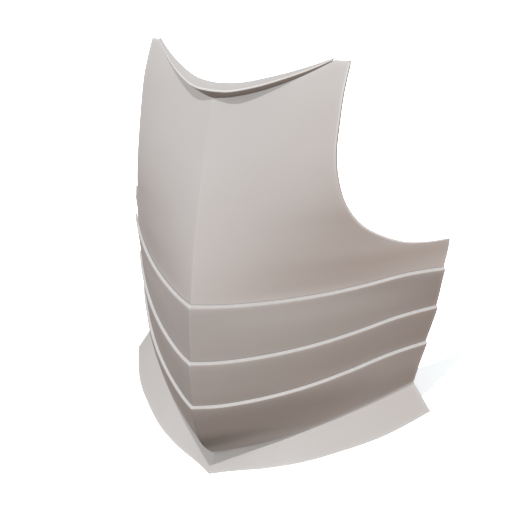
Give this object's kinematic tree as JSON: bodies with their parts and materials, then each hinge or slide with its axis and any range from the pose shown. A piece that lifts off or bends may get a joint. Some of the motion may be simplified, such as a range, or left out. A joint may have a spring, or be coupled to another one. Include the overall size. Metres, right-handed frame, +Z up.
{
  "type": "steel breastplate",
  "caption": "Ridged steel breastplate with a turned-out neck flange, overlapping belly lames and a flared skirt, standing on its level skirt rim.",
  "frame": {"origin": "bottom centre of the bounding box, on the floor plane that the skirt's rim stands on", "axes": "+Z up with the part standing on its skirt rim, -Y the ridged front, +X across the body to the right of a viewer who faces the front"},
  "size_m": [0.396, 0.2544, 0.4176],
  "materials": {
    "steel_plate": "satin"
  },
  "bodies": {
    "root": {"breast_plate": "steel_plate", "neck_flange": "steel_plate", "lame_upper": "steel_plate", "lame_middle": "steel_plate", "lame_lower": "steel_plate", "skirt_flange": "steel_plate"}
  },
  "joints": []
}
